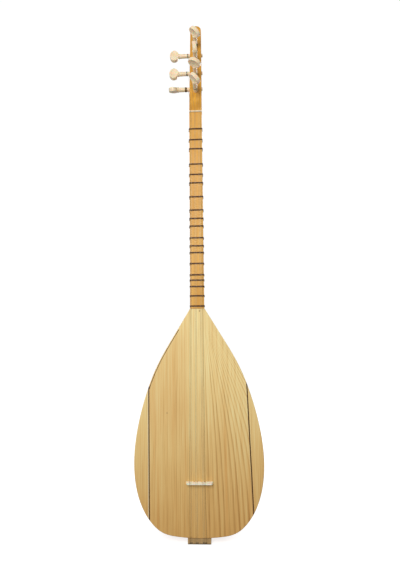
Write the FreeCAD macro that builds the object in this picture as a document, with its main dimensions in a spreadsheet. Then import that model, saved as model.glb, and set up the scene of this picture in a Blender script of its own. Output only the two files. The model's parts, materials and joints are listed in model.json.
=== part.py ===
"""Short-necked baglama (saz) as an assembly of separate pieces.

Frame: millimetres, +Z up along the neck, the soundboard faces -Y and +X is to the right of a
person who looks at the soundboard. The origin is the middle of the string holder's lower face.
"""
import FreeCAD, Part
import math
import os

import Sketcher

from FreeCAD import Placement, Rotation, Vector

# alias, value in mm (degrees for angles), meaning
SIZES = [
    ("scale_length", 725, "from the nut to the bridge"),
    ("bridge_up", 104, "height of the bridge above the rest face"),
    ("body_top", 423.5, "where the bowl meets the neck"),
    ("board_foot", 9, "lowest point of the soundboard"),
    ("board_thick", 4, "soundboard"),
    ("board_soft", 1.2, "rounding of the soundboard's front edge"),
    ("bowl_ratio", 1.3, "bowl depth over half width at the belly"),
    ("bowl_ratio_neck", 2.22, "the same ratio where the neck starts"),
    ("belly_up", 135, "height of the widest place"),
    ("stave_thick", 3, "bowl stave"),
    ("stave_count", 9, "bowl staves"),
    ("filet_turn", 0.7, "angle that a filet between two staves takes, degrees"),
    ("tail_gap", 7, "half width of the soundboard where the stave tips end"),
    ("glue_line", 0.3, "gap left for glue round inner blocks"),
    ("filet_wide", 2.2, "filets let into the soundboard"),
    ("rim_line_wide", 1.3, "dark line along the upper left rim"),
    ("rim_line_in", 1.8, "distance from the rim to that line"),
    ("neck_half_nut", 12.8, "half width of the neck at the nut"),
    ("neck_half_body", 13.5, "half width of the neck at the body"),
    ("neck_depth_nut", 20, "rounded back of the neck at the nut"),
    ("neck_depth_body", 30, "rounded back of the neck at the body"),
    ("neck_tip_share", 0.62, "radius at the back of the neck over its half width"),
    ("fingerboard_rise", 1, "playing face of the neck above the soundboard"),
    ("neck_past_nut", 5, "neck above the nut's lower edge"),
    ("nut_thick", 3, "nut"),
    ("nut_rise", 2.3, "nut above the playing face"),
    ("nut_seat", 2, "depth of the nut's slot"),
    ("head_tilt", 10, "head leans back, degrees"),
    ("head_length", 226, "head"),
    ("head_wide_base", 25.8, "head"),
    ("head_wide_top", 23.4, "head"),
    ("head_thick_base", 24, "head"),
    ("head_thick_top", 17, "head"),
    ("side_peg_depth", 9.5, "side pegs behind the head's front face"),
    ("peg_radius", 4.2, "peg shaft where it enters the head"),
    ("peg_taper", 0.02, "growth of the shaft's radius per mm"),
    ("peg_fit", 0.06, "radial clearance of a peg in its hole"),
    ("peg_tip", 1.2, "shaft that comes out on the far side of the head"),
    ("peg_outside", 25, "shaft between head and handle"),
    ("handle_wide", 27, "peg handle across"),
    ("handle_tall", 19.5, "peg handle along the shaft"),
    ("handle_thick", 8, "peg handle"),
    ("handle_dish", 2, "hollow in each face of the handle"),
    ("bridge_base", 50, "bridge length at its feet"),
    ("bridge_crest", 44, "bridge length at its crest"),
    ("bridge_tall", 8.5, "bridge"),
    ("bridge_base_thick", 4.6, "bridge"),
    ("bridge_crest_thick", 2.6, "bridge"),
    ("notch_deep", 0.6, "string notches in nut and bridge"),
    ("holder_half", 21, "half width of the string holder"),
    ("holder_deep", 24, "string holder, front to back"),
    ("holder_slot_wide", 1.6, "string slots in the holder"),
    ("holder_slot_tall", 2.8, "string slots in the holder"),
    ("strand", 0.92, "nylon of a fret"),
    ("strand_turns", 3, "turns of nylon in a fret"),
    ("fret_gap", 0.2, "clearance of a fret round the neck"),
    ("plain_radius", 0.15, "plain steel string"),
    ("wound_radius", 0.28, "wound string"),
    ("slack", 0.02, "strings above the floor of their notches"),
    ("coil_gap", 0.15, "turns of a string round its peg"),
    ("coil_turns", 7, "turns of a string round its peg"),
    ("ball_radius", 1.25, "ball that ends a string behind the holder"),
    ("ball_long", 3, "ball that ends a string behind the holder"),
    ("brace_wide", 8, "soundboard brace"),
    ("brace_tall", 13, "soundboard brace"),
    ("brace_foot", 1.5, "brace end, from its foot to its shoulder"),
    ("brace_scoop", 26, "how far a brace slopes down at each end"),
]

# a fret for each of these intervals above the open string, in cents
FRET_CENTS = [90, 150, 202, 292, 355, 408, 498, 588, 647, 702, 790, 852, 906, 996, 1094, 1142,
              1200, 1290, 1393]

# right half of the soundboard's edge, from the tail to the neck: (half width, height above its foot)
BOARD_EDGE = [(0, 0), (40, 2.2), (65.5, 8.3), (90, 28.7), (109, 63), (120, 126), (113, 197),
              (91.2, 274), (70.6, 320), (51.5, 353), (14.2, 414.5)]

# height of each peg along the head and the turn of its handle, degrees
FRONT_PEGS = [("peg_front_1", 169.5, -48), ("peg_front_2", 128.5, -82), ("peg_front_3", 88, -27),
              ("peg_front_4", 48, -48)]
SIDE_PEGS = [("peg_side_1", 151, 0), ("peg_side_2", 102.5, 3), ("peg_side_3", 60.5, 58)]

# name, kind, place on the bridge, on the nut and on the string holder, and the peg that it winds on
STRINGS = [
    ("string_1_wound", "wound", -16.2, -9.8, -16.6, "peg_side_3"),
    ("string_2_plain", "plain", -13.8, -7.6, -13.6, "peg_side_2"),
    ("string_3_plain", "plain", -5.4, -1.8, -5.8, "peg_side_1"),
    ("string_4_plain", "plain", -3.0, 0.6, -2.8, "peg_front_4"),
    ("string_5_plain", "plain", 6.8, 5.6, 7.0, "peg_front_3"),
    ("string_6_plain", "plain", 9.2, 7.8, 10.0, "peg_front_2"),
    ("string_7_wound", "wound", 11.6, 10.0, 13.0, "peg_front_1"),
]

doc = FreeCAD.newDocument("baglama")
sheet = doc.addObject("Spreadsheet::Sheet", "Sizes")
for row, (alias, value, meaning) in enumerate(SIZES, 1):
    sheet.set(f"A{row}", meaning)
    sheet.set(f"B{row}", str(value))
    sheet.setAlias(f"B{row}", alias)
doc.recompute()

nodes = []


def size(alias):
    """Value of a driving dimension."""
    return float(sheet.get(alias))


def keep(item, label):
    """Names a finished sub-part, which makes it a node of its own."""
    item.Label = label
    nodes.append(item)
    return item


def feature(label, shape, place=None):
    """A sub-part whose shape is worked out with Part's functions."""
    item = doc.addObject("Part::Feature", label)
    item.Shape = shape
    if place:
        item.Placement = place
    return keep(item, label)


NUT_UP = size("bridge_up") + size("scale_length")
NECK_TOP = NUT_UP + size("neck_past_nut")
RIM = size("board_thick")
TOP = size("body_top")
FOOT = size("board_foot")
PLAY = -size("fingerboard_rise")
TILT = size("head_tilt")
HEAD = Placement(Vector(0, PLAY, NECK_TOP), Rotation(Vector(1, 0, 0), -TILT))
FAR = 600


# ---------------------------------------------------------------- sketches

def plane(body, role):
    """One of the body's own origin planes."""
    return next(item for item in body.Origin.OriginFeatures if item.Role == role)


def sketch(body, name, role, lift=None):
    """An empty sketch on an origin plane, moved along the plane's normal by an expression."""
    flat = body.newObject("Sketcher::SketchObject", name)
    flat.AttachmentSupport = [(plane(body, role), "")]
    flat.MapMode = "FlatFace"
    if lift:
        flat.setExpression("AttachmentOffset.Base.z", lift)
    return flat


def pin(flat, geometry, end, spot, rough=(1.0, 1.0)):
    """Ties one end of an edge to a place that is given as a pair of expressions."""
    for kind, expression, near in zip(("DistanceX", "DistanceY"), spot, rough):
        index = flat.addConstraint(Sketcher.Constraint(kind, -1, 1, geometry, end, near))
        flat.setExpression(f"Constraints[{index}]", expression)


def polygon(flat, corners):
    """A closed outline whose corners are pairs of expressions."""
    count = len(corners)
    start = [Vector(50 * math.cos(2 * math.pi * i / count), 50 * math.sin(2 * math.pi * i / count), 0)
             for i in range(count)]
    first = flat.GeometryCount
    for i in range(count):
        flat.addGeometry(Part.LineSegment(start[i], start[(i + 1) % count]))
    for i in range(count):
        after = first + (i + 1) % count
        flat.addConstraint(Sketcher.Constraint("Coincident", first + i, 2, after, 1))
    for i, spot in enumerate(corners):
        pin(flat, first + i, 1, spot)


def rectangle(flat, left, right, low, high):
    """A closed upright rectangle between four expressions."""
    polygon(flat, [(left, low), (right, low), (right, high), (left, high)])


def new_body(name):
    return doc.addObject("PartDesign::Body", name)


def pad(body, name, profile, length, both_ways=False):
    block = body.newObject("PartDesign::Pad", name)
    block.Profile = profile
    block.setExpression("Length", length)
    block.Midplane = both_ways
    return block


def pocket_through(body, name, profile):
    """Cuts a profile out of the whole body, both ways."""
    hollow = body.newObject("PartDesign::Pocket", name)
    hollow.Profile = profile
    hollow.Midplane = True
    hollow.Type = 0
    hollow.Length = FAR
    return hollow


def round_edges(body, name, base, radius, wanted):
    """Rounds the edges of the last feature for which wanted(edge) holds."""
    doc.recompute()
    names = [f"Edge{i}" for i, edge in enumerate(base.Shape.Edges, 1) if wanted(edge)]
    rounding = body.newObject("PartDesign::Fillet", name)
    rounding.Base = (base, names)
    rounding.Radius = radius
    return rounding


# ---------------------------------------------------------------- bowl and soundboard

def edge_curve(shift=0.0):
    """Right half of the soundboard's edge in the XZ plane."""
    points = [Vector(across + shift, 0, FOOT + up) for across, up in BOARD_EDGE]
    curve = Part.BSplineCurve()
    curve.interpolate(points, InitialTangent=Vector(1, 0, 0), FinalTangent=Vector(-0.6, 0, 1))
    return curve


EDGE = edge_curve()
RIB_STATIONS = 34


def bowl_reach(half, height, turn):
    """Distance of the bowl from its axis at an angle round it, where the half width is given."""
    past = max(0.0, (height - size("belly_up")) / (TOP - size("belly_up")))
    ratio = size("bowl_ratio") + (size("bowl_ratio_neck") - size("bowl_ratio")) * past ** 3
    return half * ratio / math.hypot(ratio * math.cos(turn), math.sin(turn))


def rib_spot(at, turn):
    """Distance from the axis and height of the bowl at a place along the soundboard's edge."""
    spot = EDGE.value(at)
    return bowl_reach(spot.x, spot.z, turn), spot.z


def rib_line(turn, inset=0.0):
    """Bowl profile in the half plane at an angle round the axis, moved inwards by inset."""
    low = EDGE.parameter(Vector(size("tail_gap"), 0, FOOT))
    high = EDGE.LastParameter
    step = (high - low) / 2000
    line = []
    for i in range(RIB_STATIONS):
        share = i / (RIB_STATIONS - 1)
        at = low + (high - low) * share * (0.45 + 1.1 * share - 0.55 * share ** 2)
        reach, height = rib_spot(at, turn)
        before = rib_spot(max(at - step, low), turn)
        after = rib_spot(min(at + step, high), turn)
        run = Vector(after[0] - before[0], 0, after[1] - before[1]).normalize()
        line.append((reach - inset * run.z, height + inset * run.x))
    slope = (line[-1][0] - line[-2][0]) / (line[-1][1] - line[-2][1])
    line[-1] = (line[-1][0] + slope * (TOP - line[-1][1]), TOP)
    return [Vector(reach * math.cos(turn), RIM + reach * math.sin(turn), height)
            for reach, height in line]


def spline(points):
    curve = Part.BSplineCurve()
    curve.interpolate(points)
    return curve


def rib_wire(turn, thick):
    """Cross-section of the bowl's shell in the half plane at an angle round the axis."""
    outer = rib_line(turn)
    inner = rib_line(turn, thick)
    return Part.Wire([
        spline(outer).toShape(),
        Part.makeLine(outer[-1], inner[-1]),
        spline(list(reversed(inner))).toShape(),
        Part.makeLine(inner[0], outer[0]),
    ])


def shell_piece(start, end):
    """Part of the bowl's shell between two angles round its axis."""
    turns = [start, (start + end) / 2, end]
    return Part.makeLoft([rib_wire(math.radians(turn), size("stave_thick")) for turn in turns], True)


def inner_reach(height, turn, inset):
    """Room inside the bowl at a height, measured from its axis at an angle round it."""
    level = Part.Plane(Vector(0, 0, height), Vector(0, 0, 1))
    spot = spline(rib_line(turn, inset)).intersectCS(level)[0][0]
    return math.hypot(spot.X, spot.Y - RIM)


def half_oval(wide, deep, height):
    """Half an oval behind the soundboard, closed along the board, in a level plane."""
    side, back = Vector(wide, RIM, height), Vector(0, RIM + deep, height)
    longer, shorter = (back, side) if deep >= wide else (side, back)
    oval = Part.Ellipse(longer, shorter, Vector(0, RIM, height))
    low, high = sorted(oval.parameter(spot) for spot in (side, Vector(-wide, RIM, height)))
    arc = oval.toShape(low, high)
    if arc.CenterOfMass.y < RIM:
        arc = oval.toShape(high, low + 2 * math.pi)
    return Part.Wire([arc, Part.makeLine(arc.Vertexes[-1].Point, arc.Vertexes[0].Point)])


def board_solid():
    """The whole soundboard as one plate."""
    right = EDGE.toShape()
    left = right.mirror(Vector(0, 0, 0), Vector(1, 0, 0))
    corner = EDGE.value(EDGE.LastParameter)
    top = Part.makeLine(corner, Vector(-corner.x, 0, corner.z))
    outline = Part.Wire(Part.__sortEdges__([right, top, left]))
    board = Part.Face(outline).extrude(Vector(0, RIM, 0))
    rim = [edge for edge in board.Edges if edge.BoundBox.YMax < 0.1 and edge.BoundBox.ZLength > 100]
    return board.makeFillet(size("board_soft"), rim)


def plate(corners, depth=RIM):
    """An upright plate behind the plane of the soundboard's face from (x, z) corners."""
    line = [Vector(x, 0, z) for x, z in corners]
    return Part.Face(Part.makePolygon(line + line[:1])).extrude(Vector(0, depth, 0))


def strip(line, wide):
    """A plate of constant width along a line of (x, z) points."""
    half = wide / 2
    return plate([(x - half, z) for x, z in line] + [(x + half, z) for x, z in reversed(line)])


LEFT_FILET = [(-95.0, 440), (-93.4, 272), (-90.9, 44), (-90.4, 0)]
RIGHT_FILET = [(86.0, 440), (91.7, 281), (95.0, 169), (98.6, 50), (100, 0)]
RIM_LINE_SPAN = (268, 384)


def build_soundboard():
    board = board_solid()
    wide = size("filet_wide")
    left_strip = strip(LEFT_FILET, wide)
    right_strip = strip(RIGHT_FILET, wide)
    left_side = plate([(x - wide / 2, z) for x, z in LEFT_FILET] + [(-FAR, 0), (-FAR, 440)])
    right_side = plate([(x + wide / 2, z) for x, z in RIGHT_FILET] + [(FAR, 0), (FAR, 440)])
    inner_edge = edge_curve(-size("rim_line_in") - size("rim_line_wide"))
    outer_edge = edge_curve(-size("rim_line_in"))
    low, high = RIM_LINE_SPAN
    band = []
    for curve in (outer_edge, inner_edge):
        ends = [curve.intersectCC(Part.LineSegment(Vector(0, 0, z), Vector(FAR, 0, z)).toShape().Curve)
                for z in (low, high)]
        params = [curve.parameter(Vector(spot[0].X, spot[0].Y, spot[0].Z)) for spot in ends]
        band.append(curve.toShape(min(params), max(params)))
    face = Part.Face(Part.Wire(Part.__sortEdges__([
        band[0], band[1],
        Part.makeLine(band[0].Vertexes[0].Point, band[1].Vertexes[0].Point),
        Part.makeLine(band[0].Vertexes[-1].Point, band[1].Vertexes[-1].Point),
    ])))
    rim_line = face.mirror(Vector(0, 0, 0), Vector(1, 0, 0)).extrude(Vector(0, RIM / 2, 0))
    feature("soundboard_wing_left", solid(board.common(left_side).cut(rim_line)))
    feature("soundboard_wing_right", solid(board.common(right_side)))
    feature("soundboard_filet_left", solid(board.common(left_strip).cut(rim_line)))
    feature("soundboard_filet_right", solid(board.common(right_strip)))
    centre = board.cut(left_side).cut(right_side).cut(left_strip).cut(right_strip)
    feature("soundboard_centre", solid(centre.cut(rim_line)))
    feature("rim_line_left", solid(board.common(rim_line)))


def solid(shape):
    """The largest solid of a shape, checked for stray pieces."""
    parts = sorted(shape.Solids, key=lambda item: item.Volume)
    for stray in parts[:-1]:
        if stray.Volume > 1:
            print("stray piece of", round(stray.Volume, 2), "mm3")
    return parts[-1]


def build_bowl():
    count = int(size("stave_count"))
    turn = 180 / count
    half_filet = size("filet_turn") / 2
    for i in range(count):
        start = i * turn + (half_filet if i else 0)
        end = (i + 1) * turn - (half_filet if i < count - 1 else 0)
        feature(f"bowl_stave_{i + 1}", shell_piece(start, end))
    filets = [shell_piece(i * turn - half_filet, i * turn + half_filet) for i in range(1, count)]
    feature("bowl_filets", Part.makeCompound(filets))


BLOCK_LEVELS = {"tail_block": (14, 20, 30), "neck_block": (384, 394, 404, 414, TOP)}
BRACE_LEVELS = {"brace_lower": 62, "brace_middle": 190, "brace_upper": 312}


def build_inner_blocks():
    inset = size("stave_thick") + size("glue_line")
    for label, levels in BLOCK_LEVELS.items():
        wires = [half_oval(inner_reach(up, 0, inset), inner_reach(up, math.pi / 2, inset), up)
                 for up in levels]
        feature(label, Part.makeLoft(wires, True, True))
    wide, tall = size("brace_wide"), size("brace_tall")
    foot, scoop = size("brace_foot"), size("brace_scoop")
    for label, up in BRACE_LEVELS.items():
        half = min(inner_reach(up, 0, inset), inner_reach(up + wide, 0, inset)) - 1
        profile = [(-half, 0), (half, 0), (half - foot, tall / 3), (half - scoop, tall),
                   (scoop - half, tall), (foot - half, tall / 3), (-half, 0)]
        bar = Part.Face(Part.makePolygon([Vector(x, RIM + y, up) for x, y in profile]))
        feature(label, bar.extrude(Vector(0, 0, wide)))


# ---------------------------------------------------------------- neck and frets

CORNER = 1.2


def neck_half(height):
    share = (height - TOP) / (NUT_UP - TOP)
    return size("neck_half_body") + (size("neck_half_nut") - size("neck_half_body")) * share


def neck_depth(height):
    share = (height - TOP) / (NUT_UP - TOP)
    return size("neck_depth_body") + (size("neck_depth_nut") - size("neck_depth_body")) * share


def neck_section(height, grow=0.0):
    """Level section of the neck, grown evenly: flat playing face, short sides and an oval back.

    The oval is two long side arcs and a small arc at the back, tangent to each other.
    """
    half = neck_half(height)
    deep = neck_depth(height)
    tip = size("neck_tip_share") * half
    side = (half ** 2 + (deep - tip) ** 2 - tip ** 2) / (2 * (half - tip))
    lean = math.atan2(deep - tip, side - half)
    edge, front, bend = half + grow, PLAY - grow, CORNER + grow
    slant = bend * (1 - math.sqrt(0.5))

    def spot(x, y):
        return Vector(x, y, height)

    def flank(turn):
        return spot(half - side + (side + grow) * math.cos(turn), RIM + (side + grow) * math.sin(turn))

    right = [
        Part.makeLine(spot(0, front), spot(edge - bend, front)),
        Part.Arc(spot(edge - bend, front), spot(edge - slant, front + slant),
                 spot(edge, front + bend)).toShape(),
        Part.makeLine(spot(edge, front + bend), flank(0)),
        Part.Arc(flank(0), flank(lean / 2), flank(lean)).toShape(),
    ]
    left = [piece.mirror(Vector(0, 0, 0), Vector(1, 0, 0)) for piece in right]
    end = flank(lean)
    back = Part.Arc(end, spot(0, RIM + deep + grow), spot(-end.x, end.y)).toShape()
    return Part.Wire(Part.__sortEdges__(right + [back] + left))


def build_neck():
    blank = Part.makeLoft([neck_section(TOP), neck_section(NECK_TOP)], True, True)
    seat = Part.makeBox(2 * FAR, FAR, size("nut_thick"),
                        Vector(-FAR, PLAY + size("nut_seat") - FAR, NUT_UP))
    feature("neck", blank.cut(seat))


def fret_height(cents):
    """Height of the fret that raises an open string by an interval."""
    return NUT_UP - size("scale_length") * (1 - 2 ** (-cents / 1200))


def build_fret(number, cents):
    """Turns of nylon side by side round the neck, with rounded outsides."""
    up = fret_height(cents)
    thick = size("strand")
    turns = int(size("strand_turns"))
    face = PLAY - size("fret_gap")
    half = thick * turns / 2

    def spot(out, along):
        return Vector(0, face - out, up + along)

    edges = [Part.makeLine(spot(0, half), spot(0, -half)),
             Part.makeLine(spot(0, -half), spot(thick / 2, -half))]
    for i in range(turns):
        low = -half + i * thick
        edges.append(Part.Arc(spot(thick / 2, low), spot(thick, low + thick / 2),
                              spot(thick / 2, low + thick)).toShape())
    edges.append(Part.makeLine(spot(thick / 2, half), spot(0, half)))
    ring = neck_section(up, size("fret_gap")).makePipeShell([Part.Wire(edges)], True, False)
    feature(f"fret_{number:02d}", ring)


# ---------------------------------------------------------------- nut, bridge and string holder

NOTCH_ROOM = 0.08


def string_radius(kind):
    return size(f"{kind}_radius")


def build_nut():
    body = new_body("Nut")
    block = sketch(body, "NutBlock", "XY_Plane")
    rectangle(block, "-Sizes.neck_half_nut + 0.2", "Sizes.neck_half_nut - 0.2", "-Sizes.nut_rise",
              "Sizes.nut_seat")
    solid_nut = pad(body, "NutPad", block, "Sizes.nut_thick")
    round_edges(body, "NutRounding", solid_nut, 0.7, lambda edge: edge.BoundBox.YMax < -1
                and edge.BoundBox.XLength > 10)
    notches = sketch(body, "NutNotches", "XY_Plane")
    for _, kind, _, nut_x, _, _ in STRINGS:
        half = string_radius(kind) + NOTCH_ROOM
        rectangle(notches, f"{nut_x - half}", f"{nut_x + half}", "-Sizes.nut_rise - 5",
                  "-Sizes.nut_rise + Sizes.notch_deep")
    pocket_through(body, "NutNotchCut", notches)
    body.Placement = Placement(Vector(0, PLAY, NUT_UP), Rotation())
    keep(body, "nut")


BRIDGE_SHIFT = 1.2
BRIDGE_ARCHES = [(-15.4, 0.8), (-9.7, 1.9), (-4.2, 1.9), (4.2, 1.9), (9.7, 1.9), (15.4, 0.8)]


def build_bridge():
    body = new_body("Bridge")
    foot = sketch(body, "BridgeFoot", "XZ_Plane")
    rectangle(foot, "-Sizes.bridge_base / 2", "Sizes.bridge_base / 2", "-Sizes.bridge_base_thick / 2",
              "Sizes.bridge_base_thick / 2")
    crest = sketch(body, "BridgeCrest", "XZ_Plane", "Sizes.bridge_tall")
    rectangle(crest, "-Sizes.bridge_crest / 2", "Sizes.bridge_crest / 2",
              "-Sizes.bridge_crest_thick / 2", "Sizes.bridge_crest_thick / 2")
    loft = body.newObject("PartDesign::AdditiveLoft", "BridgeLoft")
    loft.Profile = foot
    loft.Sections = [crest]
    loft.Ruled = True
    arches = sketch(body, "BridgeArches", "XY_Plane")
    for across, radius in BRIDGE_ARCHES:
        ring = arches.addGeometry(Part.Circle(Vector(across, 0, 0), Vector(0, 0, 1), radius))
        arches.addConstraint(Sketcher.Constraint("Radius", ring, radius))
        arches.addConstraint(Sketcher.Constraint("PointOnObject", ring, 3, -1))
        arches.addConstraint(Sketcher.Constraint("DistanceX", -1, 1, ring, 3, across))
    pocket_through(body, "BridgeArchCut", arches)
    notches = sketch(body, "BridgeNotches", "XY_Plane")
    for _, kind, bridge_x, _, _, _ in STRINGS:
        half = string_radius(kind) + NOTCH_ROOM
        middle = bridge_x - BRIDGE_SHIFT
        rectangle(notches, f"{middle - half}", f"{middle + half}", "-Sizes.bridge_tall - 5",
                  "-Sizes.bridge_tall + Sizes.notch_deep")
    pocket_through(body, "BridgeNotchCut", notches)
    body.Placement = Placement(Vector(BRIDGE_SHIFT, 0, size("bridge_up")), Rotation())
    keep(body, "bridge")


def build_holder():
    body = new_body("StringHolder")
    block = sketch(body, "HolderBlock", "XY_Plane")
    rectangle(block, "-Sizes.holder_half", "Sizes.holder_half", "0", "Sizes.holder_deep")
    base = pad(body, "HolderPad", block, "Sizes.board_foot")
    round_edges(body, "HolderRounding", base, 0.8, lambda edge: edge.BoundBox.ZMax < 0.1)
    slots = sketch(body, "HolderSlots", "XZ_Plane")
    for _, _, _, _, holder_x, _ in STRINGS:
        rectangle(slots, f"{holder_x} - Sizes.holder_slot_wide / 2",
                  f"{holder_x} + Sizes.holder_slot_wide / 2", "-5", "Sizes.holder_slot_tall")
    pocket_through(body, "HolderSlotCut", slots)
    keep(body, "string_holder")


# ---------------------------------------------------------------- head and pegs

THICK_AT = ("(Sizes.head_thick_base + (Sizes.head_thick_top - Sizes.head_thick_base) * {0}"
            " / Sizes.head_length)")


def front_seat(up):
    """Where a front peg enters the head, its axis pointing out of the front face."""
    return Placement(Vector(0, 0, up), Rotation(Vector(1, 0, 0), 90))


def side_seat(up):
    """Where a side peg enters the head, its axis pointing out of the left side."""
    side = size("head_wide_base") + (size("head_wide_top") - size("head_wide_base")) * up / (
        size("head_length"))
    return Placement(Vector(-side / 2, size("side_peg_depth"), up), Rotation(Vector(0, 1, 0), -90))


def peg_hole(body, name, seat):
    """A tapered hole right through the head along a peg's axis."""
    reach = 40
    cone = body.newObject("PartDesign::SubtractiveCone", f"Hole_{name}")
    cone.setExpression("Radius1", f"Sizes.peg_radius + Sizes.peg_fit - {reach} * Sizes.peg_taper")
    cone.setExpression("Radius2", "Sizes.peg_radius + Sizes.peg_fit + 5 * Sizes.peg_taper")
    cone.Height = reach + 5
    cone.Placement = seat.multiply(Placement(Vector(0, 0, -reach), Rotation()))


def build_head():
    body = new_body("Head")
    side = sketch(body, "HeadSide", "YZ_Plane")
    polygon(side, [
        ("0", "0"),
        ("Sizes.head_thick_base", "Sizes.head_thick_base * tan(Sizes.head_tilt * 1 deg)"),
        ("Sizes.head_thick_top", "Sizes.head_length"),
        ("0", "Sizes.head_length"),
    ])
    pad(body, "HeadPad", side, "Sizes.head_wide_base", both_ways=True)
    front = sketch(body, "HeadFront", "XZ_Plane")
    rectangle(front, "-90", "90", "-60", "Sizes.head_length + 60")
    round_at = "Sizes.head_length - Sizes.head_wide_top / 2"
    corners = [("-Sizes.head_wide_base / 2", "-20"), ("Sizes.head_wide_base / 2", "-20"),
               ("Sizes.head_wide_top / 2", round_at), ("-Sizes.head_wide_top / 2", round_at)]
    first = front.GeometryCount
    rough = [Vector(-13, -20, 0), Vector(13, -20, 0), Vector(12, 200, 0), Vector(-12, 200, 0)]
    for start, end in ((0, 1), (1, 2), (3, 0)):
        front.addGeometry(Part.LineSegment(rough[start], rough[end]))
    front.addGeometry(Part.ArcOfCircle(Part.Circle(Vector(0, 200, 0), Vector(0, 0, 1), 12), 0, math.pi))
    for one, one_end, two, two_end in ((0, 2, 1, 1), (2, 2, 0, 1), (1, 2, 3, 1), (3, 2, 2, 1)):
        front.addConstraint(Sketcher.Constraint("Coincident", first + one, one_end, first + two, two_end))
    for edge, end, spot in ((0, 1, 0), (0, 2, 1), (1, 2, 2), (2, 1, 3)):
        pin(front, first + edge, end, corners[spot], (rough[spot].x, rough[spot].y))
    level = front.addConstraint(Sketcher.Constraint("DistanceY", -1, 1, first + 3, 3, 200))
    front.setExpression(f"Constraints[{level}]", round_at)
    outline = pocket_through(body, "HeadOutline", front)
    rounding = round_edges(body, "HeadBackRounding", outline, 5,
                           lambda edge: edge.BoundBox.YMin > 10 and edge.BoundBox.ZLength > 100)
    round_edges(body, "HeadFrontRounding", rounding, 1.2,
                lambda edge: edge.BoundBox.YMax < 0.1 and edge.BoundBox.ZMax > 30)
    for name, up, _ in FRONT_PEGS:
        peg_hole(body, name, front_seat(up))
    for name, up, _ in SIDE_PEGS:
        peg_hole(body, name, side_seat(up))
    body.Placement = HEAD
    keep(body, "head")


def build_peg(name, seat, turn, inside):
    """A tapered peg with a collar and a dished oval handle, its axis along its own +Z."""
    body = new_body(name)
    shaft = sketch(body, f"{name}_profile", "XZ_Plane")

    def radius(along):
        return f"Sizes.peg_radius + Sizes.peg_taper * ({along})"

    tip = f"-({inside})"
    out = "Sizes.peg_outside"
    polygon(shaft, [
        ("0", tip),
        (f"{radius(tip)} - 0.6", tip),
        (radius(tip), f"{tip} + 0.8"),
        (radius(f"{out} - 4"), f"{out} - 4"),
        (f"{radius(out)} + 0.9", f"{out} - 1"),
        (f"{radius(out)} + 0.9", f"{out} + 0.6"),
        (f"{radius(out)} - 1.2", f"{out} + 2.4"),
        ("0", f"{out} + 4"),
    ])
    turned = body.newObject("PartDesign::Revolution", f"{name}_shaft")
    turned.Profile = shaft
    turned.ReferenceAxis = (shaft, ["V_Axis"])
    turned.Angle = 360
    middle = size("peg_outside") + size("handle_tall") / 2
    centre = Vector(0, 0, middle)
    handle = body.newObject("PartDesign::AdditiveEllipsoid", f"{name}_handle")
    handle.setExpression("Radius1", "Sizes.handle_tall / 2")
    handle.setExpression("Radius2", "Sizes.handle_wide / 2")
    handle.setExpression("Radius3", "Sizes.handle_thick * 2")
    handle.Placement = Placement(centre, Rotation())
    for side in (-1, 1):
        flat = body.newObject("PartDesign::SubtractiveBox", f"{name}_flat")
        flat.Length = 60
        flat.Width = 20
        flat.Height = 40
        edge = size("handle_thick") / 2
        flat.Placement = Placement(Vector(-30, edge if side > 0 else -edge - 20, middle - 20), Rotation())
        dish = body.newObject("PartDesign::SubtractiveEllipsoid", f"{name}_dish")
        dish.setExpression("Radius1", "Sizes.handle_tall * 0.4")
        dish.setExpression("Radius2", "Sizes.handle_wide * 0.42")
        dish.setExpression("Radius3", "Sizes.handle_dish")
        dish.Placement = Placement(Vector(0, side * edge, middle), Rotation())
    body.Placement = HEAD.multiply(seat).multiply(Placement(Vector(), Rotation(Vector(0, 0, 1), turn)))
    keep(body, name)


def build_pegs():
    for name, up, turn in FRONT_PEGS:
        build_peg(name, front_seat(up), turn, THICK_AT.format(up) + " + Sizes.peg_tip")
    for name, up, turn in SIDE_PEGS:
        build_peg(name, side_seat(up), turn, "Sizes.head_wide_base + Sizes.peg_tip")


# ---------------------------------------------------------------- strings

# how far from the head each peg carries its turns of string
COIL_PLACES = {
    "peg_front_1": 4.5, "peg_front_2": 6, "peg_front_3": 7.5, "peg_front_4": 9,
    "peg_side_1": 5, "peg_side_2": 6.5, "peg_side_3": 8,
}


def path_wire(points, bend):
    """Straight runs through the points, joined by tangent arcs of one radius."""
    edges = []
    start = points[0]
    for before, corner, after in zip(points[:-2], points[1:-1], points[2:]):
        come = (corner - before).normalize()
        leave = (after - corner).normalize()
        turn = come.getAngle(leave)
        back = bend * math.tan(turn / 2)
        first, last = corner - come * back, corner + leave * back
        inwards = (leave - come).normalize()
        middle = corner + inwards * (bend / math.cos(turn / 2) - bend)
        edges.append(Part.makeLine(start, first))
        edges.append(Part.Arc(first, middle, last).toShape())
        start = last
    edges.append(Part.makeLine(start, points[-1]))
    return Part.Wire(edges)


def tube(points, radius, bend):
    """A round cord along a path, tested against its section times its length."""
    path = path_wire(points, bend)
    along = points[1] - points[0]
    ring = Part.Wire(Part.makeCircle(radius, points[0], along))
    cord = path.makePipeShell([ring], True, False)
    expected = math.pi * radius ** 2 * path.Length
    if abs(cord.Volume - expected) > 0.01 * expected:
        raise RuntimeError(f"cord volume {cord.Volume:.2f}, expected {expected:.2f}")
    return cord


def coil(seat, peg, radius):
    """Outer shape of the turns of a string round its peg, and the radius of its middle line."""
    middle = COIL_PLACES[peg]
    wide = size("coil_turns") * 2 * radius
    inner = size("peg_radius") + size("peg_taper") * (middle + wide / 2) + size("coil_gap")
    outer = inner + 2 * radius + 0.05
    ring = Part.makeCylinder(outer, wide).cut(Part.makeCylinder(inner, wide))
    ring.Placement = HEAD.multiply(seat).multiply(Placement(Vector(0, 0, middle - wide / 2), Rotation()))
    return ring, inner + radius


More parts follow.
